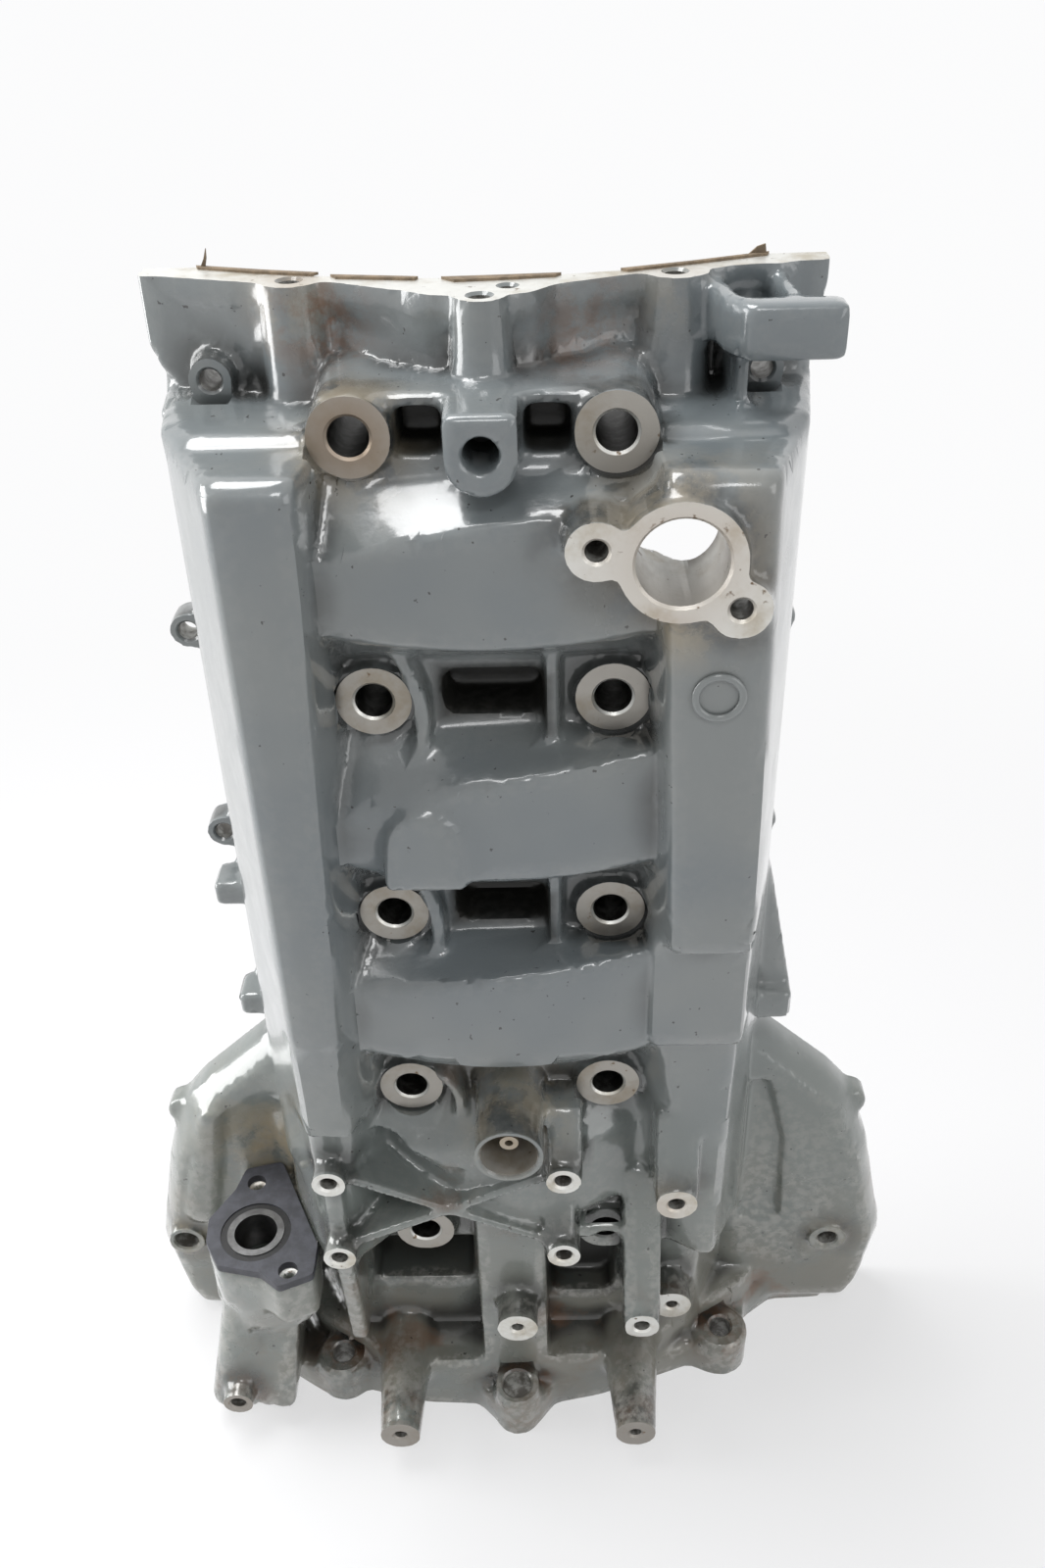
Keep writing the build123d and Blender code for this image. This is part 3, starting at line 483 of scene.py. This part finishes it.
def oil_and_shade_strength(points):
    """Oily film and painted shade on the casting close round each machined ring."""
    total = np.zeros(len(points), np.float32)
    for x, z, depth, radius, hole, length in front_faces():
        radial = np.hypot(points[:, 0] - x, points[:, 2] - z) - radius
        behind = points[:, 1] + depth
        on_wall = (behind > OIL_SHADE_START) & (behind < OIL_SHADE_DEPTH)
        ring_oil_and_shade = np.exp(-(np.maximum(radial, 0) / OIL_SHADE_REACH) ** 2) * on_wall
        total = np.maximum(total, ring_oil_and_shade)
    return total


def rim_strength(points):
    """Washer marks towards the rims of the main bolt faces."""
    total = np.zeros(len(points), np.float32)
    for x, z, depth, radius, hole, length in bare_faces():
        if radius == SPOT_FACE:
            radial = np.hypot(points[:, 0] - x, points[:, 2] - z)
            close = np.abs(points[:, 1] + depth) < GROOVE
            mouth = hole + 2 * TAPER
            share = np.clip((radial - mouth) / (radius - mouth), 0, 1)
            total = np.maximum(total, close * share)
    return total


def pocket_shade_strength(points, rooms):
    """Painted shade inside box-shaped pockets, fading in over a few millimetres."""
    total = np.zeros(len(points), np.float32)
    x, depth, z = points[:, 0] / MM, -points[:, 1] / MM, points[:, 2] / MM
    for left, right, back, front, bottom, top in rooms:
        inside = np.minimum.reduce((x - left, right - x, depth - back, front - depth, z - bottom, top - z))
        shade = np.clip(inside / SHADE_FADE + SHADE_AT_MOUTH, 0, 1)
        total = np.maximum(total, shade * (inside > -SHADE_FADE / 3))
    return total


def mark_points(piece, soft, field, low):
    """Stores on every point how sharp its edge is, how shut in it lies, how stained it is and how much
    painted shade it gets.
    """
    points = np.empty(len(piece.data.vertices) * 3, np.float32)
    piece.data.vertices.foreach_get("co", points)
    points = points.reshape(-1, 3)
    edge = sample(blur(soft, EDGE_BLUR) - soft, low, points)
    cavity = sample(blur(np.clip(0.5 - field, 0, 1), CAVITY_BLUR), low, points)
    marks = {"edge": edge, "cavity": cavity, "oil": oil_and_shade_strength(points),
             "rust": spot_strength(points, RUST_SPOTS), "residue": spot_strength(points, RESIDUE_SPOTS),
             "pocket_shade": pocket_shade_strength(points, SHADE_ROOMS), "rim": rim_strength(points)}
    for name, values in marks.items():
        attribute = piece.data.attributes.new(name, "FLOAT", "POINT")
        attribute.data.foreach_set("value", values.astype(np.float32))


def face_centres(mesh):
    centres = np.empty(len(mesh.polygons) * 3, np.float32)
    mesh.polygons.foreach_get("center", centres)
    return centres.reshape(-1, 3)


def hole_slot(hole):
    """Slot for the walls of a front hole: wide bores are bare, main bolt holes in painted shade, the rest
    threads.
    """
    if hole > WIDE_BORE:
        return BARE_SLOT
    if hole == BOLT_HOLE:
        return BOLT_SHADE_SLOT
    return THREAD_SLOT


def mark_front(slots, centres):
    """Slots of the faces, chamfers and holes that are cut from the front."""
    for x, z, depth, radius, hole, length in bare_faces():
        radial = np.hypot(centres[:, 0] - x, centres[:, 2] - z)
        off_face = np.abs(centres[:, 1] + depth)
        on_face = (off_face < NEAR_PLANE) & (radial < radius + FACING + NEAR_HOLE)
        chamfer = (off_face < 2 * TAPER) & (radial < hole + 2 * TAPER)
        slots[on_face | chamfer] = BARE_SLOT
    for x, z, depth, radius, hole, length in front_faces():
        radial = np.hypot(centres[:, 0] - x, centres[:, 2] - z)
        in_hole = (centres[:, 1] > -depth + NEAR_PLANE) & (centres[:, 1] < -depth + length + NEAR_PLANE)
        slots[in_hole & (radial < hole + NEAR_HOLE)] = hole_slot(hole)


def mark_upright(slots, centres):
    """Slots of the upright holes, the seats on the oil column and the bores round the crank axis."""
    for x, depth, z, radius, hole, length in upright_faces():
        radial = np.hypot(centres[:, 0] - x, centres[:, 1] + depth)
        in_hole = (centres[:, 2] < z + NEAR_PLANE) & (centres[:, 2] > z - length - NEAR_PLANE)
        slots[in_hole & (radial < hole + NEAR_HOLE)] = THREAD_SLOT
    for x, depth in PLATE_SEATS:
        radial = np.hypot(centres[:, 0] - x, centres[:, 1] + depth)
        slots[(radial < PLATE_SEAT) & (np.abs(centres[:, 2] - PLATE_Z) < NEAR_PLATE)] = BARE_SLOT
    from_axis = np.hypot(centres[:, 0], centres[:, 1])
    for radius, low_end, high_end, walls in bores():
        between = (centres[:, 2] > low_end) & (centres[:, 2] < high_end)
        slots[(np.abs(from_axis - radius) < NEAR_PLANE) & between] = BARE_SLOT


def assign_materials(piece):
    """Gives each face its slot: enamel, bare metal on machined faces, thread metal or bolt holes in painted
    shade.
    """
    centres = face_centres(piece.data)
    slots = np.full(len(centres), ENAMEL_SLOT, np.int32)
    on_top = np.abs(centres[:, 2] - HEIGHT) < NEAR_PLANE
    on_foot = np.abs(centres[:, 2]) < NEAR_PLANE
    on_back = np.abs(centres[:, 1]) < NEAR_PLANE
    slots[on_top | on_foot | on_back] = BARE_SLOT
    mark_front(slots, centres)
    mark_upright(slots, centres)
    piece.data.polygons.foreach_set("material_index", slots)
    piece.data.polygons.foreach_set("use_smooth", np.ones(len(centres), bool))
    piece.data.set_sharp_from_angle(angle=SHARP_ANGLE)
    piece.data.update()


class Shader:
    """Short calls for building one node material."""

    def __init__(self, name):
        self.material = bpy.data.materials.new(name)
        self.material.use_nodes = True
        self.tree = self.material.node_tree
        self.tree.nodes.clear()
        self.surface = self.node("ShaderNodeBsdfPrincipled")
        self.output = self.node("ShaderNodeOutputMaterial")
        self.link(self.surface.outputs[0], self.output.inputs["Surface"])
        self.place = self.node("ShaderNodeTexCoord").outputs["Object"]

    def node(self, kind, **values):
        node = self.tree.nodes.new(kind)
        for name, value in values.items():
            setattr(node, name, value)
        return node

    def link(self, source, target):
        self.tree.links.new(source, target)

    def feed(self, target, value):
        """Links a socket, or sets a plain value."""
        if isinstance(value, bpy.types.NodeSocket):
            self.link(value, target)
        else:
            target.default_value = value

    def noise(self, scale, detail=3.0, rough=0.55, stretch=None):
        node = self.node("ShaderNodeTexNoise")
        place = self.place
        if stretch:
            mapping = self.node("ShaderNodeMapping")
            self.link(place, mapping.inputs["Vector"])
            mapping.inputs["Scale"].default_value = stretch
            place = mapping.outputs[0]
        self.link(place, node.inputs["Vector"])
        node.inputs["Scale"].default_value = scale
        node.inputs["Detail"].default_value = detail
        node.inputs["Roughness"].default_value = rough
        return node.outputs["Fac"]

    def attribute(self, name):
        return self.node("ShaderNodeAttribute", attribute_name=name).outputs["Fac"]

    def height(self):
        split = self.node("ShaderNodeSeparateXYZ")
        self.link(self.place, split.inputs[0])
        return split.outputs["Z"]

    def ramp(self, value, low, high):
        """Smooth step from 0 at low to 1 at high; low may be above high."""
        node = self.node("ShaderNodeMapRange", interpolation_type="SMOOTHSTEP")
        self.feed(node.inputs["Value"], value)
        node.inputs["From Min"].default_value = low
        node.inputs["From Max"].default_value = high
        return node.outputs[0]

    def math(self, operation, first, second):
        node = self.node("ShaderNodeMath", operation=operation)
        self.feed(node.inputs[0], first)
        self.feed(node.inputs[1], second)
        return node.outputs[0]

    def mix(self, factor, first, second):
        node = self.node("ShaderNodeMix", data_type="RGBA")
        self.feed(node.inputs["Factor"], factor)
        self.feed(node.inputs["A"], first)
        self.feed(node.inputs["B"], second)
        return node.outputs["Result"]

    def blend(self, factor, first, second):
        node = self.node("ShaderNodeMix", data_type="FLOAT")
        self.feed(node.inputs["Factor"], factor)
        self.feed(node.inputs["A"], first)
        self.feed(node.inputs["B"], second)
        return node.outputs["Result"]

    def bump(self, height, distance, strength, under=None):
        node = self.node("ShaderNodeBump")
        self.link(height, node.inputs["Height"])
        node.inputs["Distance"].default_value = distance
        node.inputs["Strength"].default_value = strength
        if under is not None:
            self.link(under, node.inputs["Normal"])
        return node.outputs[0]

    def set(self, **values):
        names = {"color": "Base Color", "metal": "Metallic", "rough": "Roughness", "normal": "Normal",
                 "coat": "Coat Weight", "coat_rough": "Coat Roughness", "gloss": "Specular IOR Level"}
        for name, value in values.items():
            self.feed(self.surface.inputs[names[name]], value)
        return self.material


def colour(red, green, blue):
    return (red, green, blue, 1.0)


def enamel_tone(s, height):
    """Blue-grey paint that varies over the part and turns greener towards the foot."""
    broad = s.noise(9, 3, 0.55)
    paint = s.mix(s.ramp(broad, 0.38, 0.62), colour(0.158, 0.180, 0.190), colour(0.198, 0.214, 0.212))
    return s.mix(s.ramp(height, 0.26, 0.12), paint, colour(0.175, 0.195, 0.182))


def shade_and_oil_share(s, patch, pocket_shade):
    """How black the paint is: painted shade in corners and hollows, oil and painted shade round the rings,
    and painted shade in the pockets.
    """
    # Painted shade: the paint turns black in corners and hollows, in patches.
    corner_shade = s.math("MULTIPLY", s.ramp(s.attribute("cavity"), 0.50, 0.70), s.ramp(patch, 0.10, 0.50))
    # Oil and painted shade round the rings, in patches.
    ring_oil_and_shade = s.math("MULTIPLY", s.attribute("oil"), s.ramp(patch, 0.30, 0.52))
    dark = s.math("MAXIMUM", s.math("MULTIPLY", corner_shade, 0.90), s.math("MULTIPLY", ring_oil_and_shade, 0.75))
    return s.math("MAXIMUM", dark, pocket_shade)


def rust_share(s, height):
    """How rusty the paint is: in spots, and in seams near the foot."""
    spots = s.math("MULTIPLY", s.attribute("rust"), s.ramp(s.noise(90, 5, 0.7), 0.40, 0.60))
    seams = s.math("MULTIPLY", s.ramp(height, 0.12, 0.01), s.ramp(s.noise(26, 5, 0.6), 0.56, 0.68))
    return s.math("MAXIMUM", spots, s.math("MULTIPLY", seams, 0.65))


def wear_share(s, height):
    """How thin the paint is on sharp edges, mostly near the foot."""
    edge = s.ramp(s.attribute("edge"), 0.16, 0.40)
    wear = s.math("MULTIPLY", edge, s.ramp(s.noise(260, 4, 0.6), 0.40, 0.62))
    return s.math("MULTIPLY", wear, s.blend(s.ramp(height, 0.20, 0.02), 0.06, 0.45))


def enamel_skin(s):
    """Grain of the casting under the paint, from fine to broad."""
    skin = s.bump(s.noise(700, 3, 0.5), 0.0003, 0.18)
    skin = s.bump(s.noise(120, 3, 0.5), 0.0016, 0.14, skin)
    return s.bump(s.noise(28, 2, 0.5), 0.004, 0.10, skin)


def enamel():
    """Glossy blue-grey enamel: painted shade in corners and pockets, oil and painted shade round its rings,
    thin on edges, stained at the foot.
    """
    s = Shader("enamel")
    height = s.height()
    patch = s.noise(38, 4, 0.6)
    # Painted shade in the dark pockets. It also dulls the paint there and takes its coat off.
    pocket_shade = s.attribute("pocket_shade")
    foot = s.math("MULTIPLY", s.ramp(height, 0.15, 0.02), s.ramp(s.noise(20, 4, 0.6), 0.36, 0.62))
    residue = s.math("MULTIPLY", s.attribute("residue"), s.ramp(s.noise(70, 5, 0.65), 0.36, 0.58))
    rust = rust_share(s, height)
    wear = wear_share(s, height)
    specks = s.ramp(s.noise(330, 2, 0.5), 0.725, 0.75)
    paint = enamel_tone(s, height)
    paint = s.mix(s.math("MULTIPLY", foot, 0.6), paint, colour(0.215, 0.195, 0.155))
    # The near-black colour stands for painted shade, and for oil round the rings.
    paint = s.mix(shade_and_oil_share(s, patch, pocket_shade), paint, colour(0.014, 0.014, 0.012))
    paint = s.mix(s.math("MULTIPLY", residue, 0.9), paint, colour(0.40, 0.33, 0.22))
    paint = s.mix(s.math("MULTIPLY", rust, 0.85), paint, colour(0.17, 0.072, 0.026))
    paint = s.mix(wear, paint, colour(0.44, 0.43, 0.40))
    paint = s.mix(s.math("MULTIPLY", specks, 0.8), paint, colour(0.025, 0.022, 0.02))
    dull = s.math("MAXIMUM", s.math("MAXIMUM", foot, pocket_shade), s.math("MAXIMUM", residue, rust))
    rough = s.blend(dull, s.blend(s.ramp(patch, 0.35, 0.65), 0.17, 0.27), 0.42)
    return s.set(color=paint, metal=s.math("MULTIPLY", wear, 0.6), rough=rough, normal=enamel_skin(s),
                 coat=s.blend(pocket_shade, 0.8, 0.0), coat_rough=0.09)


def bare_metal():
    """Machined aluminium, off-white, with thin oily stains, gasket residue, washer marks and a dull foot."""
    s = Shader("bare_metal")
    stain = s.ramp(s.noise(42, 5, 0.65), 0.44, 0.72)
    metal = s.mix(stain, colour(0.70, 0.70, 0.67), colour(0.46, 0.42, 0.34))
    residue = s.math("MULTIPLY", s.attribute("residue"), 0.9)
    metal = s.mix(residue, metal, colour(0.34, 0.245, 0.165))
    rim = s.math("MULTIPLY", s.ramp(s.attribute("rim"), 0.74, 1.0), 0.6)
    metal = s.mix(rim, metal, colour(0.15, 0.12, 0.09))
    foot = s.math("MULTIPLY", s.ramp(s.height(), 0.07, 0.03), 0.8)
    metal = s.mix(foot, metal, colour(0.20, 0.175, 0.15))
    specks = s.ramp(s.noise(210, 3, 0.6), 0.64, 0.72)
    metal = s.mix(specks, metal, colour(0.16, 0.11, 0.07))
    rough = s.blend(s.noise(300, 4, 0.6), 0.30, 0.52)
    lines = s.bump(s.noise(700, 2, 0.5, (1, 1, 8)), 0.0003, 0.15)
    return s.set(color=metal, metal=0.72, rough=rough, normal=lines)


def hole_metal(name, tone, metal):
    """Oily walls of holes and threads."""
    s = Shader(name)
    grime = s.ramp(s.noise(220, 4, 0.6), 0.35, 0.6)
    clean = colour(tone, tone, 0.95 * tone)
    oily = colour(0.3 * tone, 0.28 * tone, 0.25 * tone)
    return s.set(color=s.mix(grime, clean, oily), metal=metal, rough=0.35)


def plain(name, tone, metal, rough, grain):
    """Material of a small part: one tone broken up by fine grain."""
    s = Shader(name)
    dark = tuple(0.6 * value for value in tone[:3]) + (1.0,)
    mottled = s.mix(s.ramp(s.noise(grain, 4, 0.6), 0.35, 0.65), tone, dark)
    skin = s.bump(s.noise(grain * 4, 3, 0.5), 0.0003, 0.2)
    return s.set(color=mottled, metal=metal, rough=rough, normal=skin)


def seeing_rays(tree):
    """Socket that is 1 for rays that show what lies behind the part, and 0 for rays that only light it."""
    path = tree.nodes.new("ShaderNodeLightPath")
    seen = path.outputs["Is Camera Ray"]
    for kind in ("Is Transmission Ray", "Is Glossy Ray"):
        larger = tree.nodes.new("ShaderNodeMath")
        larger.operation = "MAXIMUM"
        tree.links.new(seen, larger.inputs[0])
        tree.links.new(path.outputs[kind], larger.inputs[1])
        seen = larger.outputs[0]
    return seen


def stage_material():
    """Pale floor: it keeps the part's shadow near the part and shows as plain white far from it."""
    s = Shader("stage")
    s.set(color=colour(0.84, 0.84, 0.85), rough=0.9, gloss=0.1)
    white = s.node("ShaderNodeEmission")
    white.inputs["Color"].default_value = colour(0.97, 0.97, 0.975)
    reach = s.node("ShaderNodeVectorMath", operation="LENGTH")
    s.link(s.place, reach.inputs[0])
    away = s.ramp(reach.outputs["Value"], 0.12, 0.9)
    share = s.math("ADD", s.math("MULTIPLY", away, 0.45), 0.55)
    mixed = s.node("ShaderNodeMixShader")
    s.link(s.math("MULTIPLY", share, seeing_rays(s.tree)), mixed.inputs["Fac"])
    s.link(s.surface.outputs[0], mixed.inputs[1])
    s.link(white.outputs[0], mixed.inputs[2])
    s.link(mixed.outputs[0], s.output.inputs["Surface"])
    return s.material


def add_area(name, place, size, power, target):
    light = bpy.data.lights.new(name, "AREA")
    light.shape = "RECTANGLE"
    light.size = size[0]
    light.size_y = size[1]
    light.energy = power
    lamp = bpy.data.objects.new(name, light)
    lamp.location = place
    lamp.rotation_euler = (Vector(target) - Vector(place)).to_track_quat("-Z", "Y").to_euler()
    bpy.context.scene.collection.objects.link(lamp)


def add_lights():
    middle = (0.0, -0.03, 0.25)
    add_area("key", (-0.40, 0.20, 1.6), (0.85, 0.6), 15.0, middle)
    add_area("left", (-1.3, 0.05, 0.55), (0.7, 1.2), 17.0, middle)
    add_area("right", (1.5, -1.1, 0.9), (1.0, 1.2), 6.0, middle)
    add_area("front", (0.05, -0.85, 1.45), (0.45, 0.25), 3.0, middle)


def add_world():
    """Soft even light, and plain white where a ray sees past the floor."""
    world = bpy.data.worlds.new("studio")
    bpy.context.scene.world = world
    world.use_nodes = True
    tree = world.node_tree
    tree.nodes.clear()
    soft_light = tree.nodes.new("ShaderNodeBackground")
    soft_light.inputs["Color"].default_value = colour(1.0, 1.0, 1.0)
    soft_light.inputs["Strength"].default_value = 0.40
    white = tree.nodes.new("ShaderNodeBackground")
    white.inputs["Color"].default_value = colour(0.98, 0.98, 0.98)
    white.inputs["Strength"].default_value = 1.0
    mix = tree.nodes.new("ShaderNodeMixShader")
    tree.links.new(seeing_rays(tree), mix.inputs["Fac"])
    tree.links.new(soft_light.outputs[0], mix.inputs[1])
    tree.links.new(white.outputs[0], mix.inputs[2])
    output = tree.nodes.new("ShaderNodeOutputWorld")
    tree.links.new(mix.outputs[0], output.inputs["Surface"])


def add_camera():
    data = bpy.data.cameras.new("camera")
    data.sensor_fit = "AUTO"
    data.sensor_width = FILM_SIZE
    data.lens = FILM_SIZE * FOCAL_PIXELS / IMAGE_HEIGHT
    data.clip_end = 50.0
    camera = bpy.data.objects.new("camera", data)
    turn = Matrix.Rotation(CAMERA_YAW, 4, "Z") @ Matrix.Rotation(math.pi / 2 - CAMERA_PITCH, 4, "X")
    camera.matrix_world = Matrix.Translation(CAMERA_PLACE) @ turn @ Matrix.Rotation(CAMERA_ROLL, 4, "Z")
    bpy.context.scene.collection.objects.link(camera)
    bpy.context.scene.camera = camera


def add_floor():
    reach = 12.0
    corners = [(-reach, -reach, 0), (reach, -reach, 0), (reach, reach, 0), (-reach, reach, 0)]
    floor = mesh_object("floor", corners, [(0, 1, 2, 3)])
    floor.data.materials.append(stage_material())


def dress_nodes(nodes):
    """Materials of the parts that keep their solid shape."""
    steel = plain("ground_steel", colour(0.55, 0.55, 0.54), 1.0, 0.3, 120)
    shell = plain("bearing_alloy", colour(0.50, 0.50, 0.49), 0.9, 0.35, 90)
    sleeve = plain("oily_steel", colour(0.22, 0.22, 0.22), 0.9, 0.28, 120)
    looks = {"locating_dowels": steel, "oil_passage_sleeve": sleeve,
             "oil_passage_gasket": plain("gasket_sheet", colour(0.060, 0.062, 0.075), 0.0, 0.5, 160),
             "oil_passage_seal_ring": plain("seal_rubber", colour(0.012, 0.012, 0.013), 0.0, 0.35, 200),
             "top_gasket_remnants": plain("old_gasket", colour(0.24, 0.18, 0.12), 0.0, 0.8, 300)}
    for name, node in nodes.items():
        material = looks.get(name, shell)
        node.data.materials.clear()
        node.data.materials.append(material)


def rail_ring_mark():
    """Plain raised ring on the right rail."""
    inner = RING_MARK - RING_WIDTH
    crest = RING_MARK - RING_WIDTH / 2
    profile = [(0, inner), (0, RING_MARK), (RING_RISE, RING_MARK), (RING_RISE + RING_CROWN, crest),
               (RING_RISE, inner), (0, inner)]
    ring = turned_object("rail_ring_mark", [(RING_PLACE, Vector((0, -1, 0)), profile)], RING_SIDES)
    mesh = bmesh.new()
    mesh.from_mesh(ring.data)
    bmesh.ops.remove_doubles(mesh, verts=mesh.verts[:], dist=0.001 * MM)
    mesh.to_mesh(ring.data)
    mesh.free()
    return ring


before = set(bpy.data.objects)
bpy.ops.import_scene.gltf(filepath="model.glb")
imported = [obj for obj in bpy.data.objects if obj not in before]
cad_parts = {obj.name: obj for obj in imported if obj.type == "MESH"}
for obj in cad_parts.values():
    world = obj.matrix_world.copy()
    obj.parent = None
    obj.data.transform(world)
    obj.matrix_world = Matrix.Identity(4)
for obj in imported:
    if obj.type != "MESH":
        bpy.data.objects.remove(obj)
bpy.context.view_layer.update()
bpy.context.scene.view_settings.view_transform = "Standard"
add_camera()
add_world()
add_lights()
add_floor()
dress_nodes(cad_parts)

body, field, soft, low = rounded_casting(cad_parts["crankcase_casting"])
machine(body)
mark_points(body, soft, field, low)
body.data.materials.clear()
paint = enamel()
# The main bolt holes get a near-black tone, which is painted shade deep inside them, with oily grime.
metals = (bare_metal(), hole_metal("thread_metal", 0.46, 0.35), hole_metal("bolt_hole_shade", 0.12, 0.8))
for material in (paint,) + metals:
    body.data.materials.append(material)
assign_materials(body)
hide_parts("crankcase_casting")
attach(body, "root")
ring_mark = rail_ring_mark()
ring_mark.data.materials.append(paint)
ring_mark.data.shade_smooth()
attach(ring_mark, "root")
